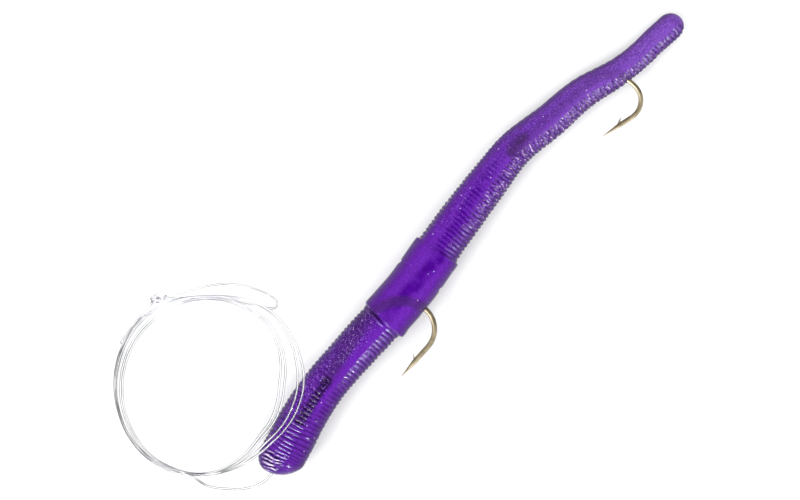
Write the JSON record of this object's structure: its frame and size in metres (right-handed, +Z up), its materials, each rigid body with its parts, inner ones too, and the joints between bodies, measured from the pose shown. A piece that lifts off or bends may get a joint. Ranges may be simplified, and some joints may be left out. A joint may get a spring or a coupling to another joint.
{
  "type": "rigged soft plastic worm",
  "caption": "Ringed soft plastic fishing worm with a smooth collar, bait hooks moulded in along one side and a coiled clear leader ending in a loop.",
  "frame": {"origin": "on the table, under the middle of the box of the worm and its hooks, the leader left out", "axes": "+X runs along the worm from its head to its tail, +Y away from the hook points, +Z up from the table"},
  "size_m": [0.1421, 0.0508, 0.0108],
  "materials": {
    "worm_plastic": "soft translucent purple plastic, satin gloss, ringed",
    "hook_metal": "bronzed steel wire, olive gold, semi-gloss",
    "line_nylon": "clear nylon line, glossy"
  },
  "bodies": {
    "root": {"worm_body": "worm_plastic", "front_hook": "hook_metal", "rear_hook": "hook_metal", "front_snell": "line_nylon", "rear_snell": "line_nylon", "head_line": "line_nylon", "middle_line": "line_nylon", "leader_lead": "line_nylon", "leader_coil": "line_nylon", "leader_tail": "line_nylon", "loop_knot": "line_nylon", "leader_loop": "line_nylon", "tag_end": "line_nylon"}
  },
  "joints": []
}
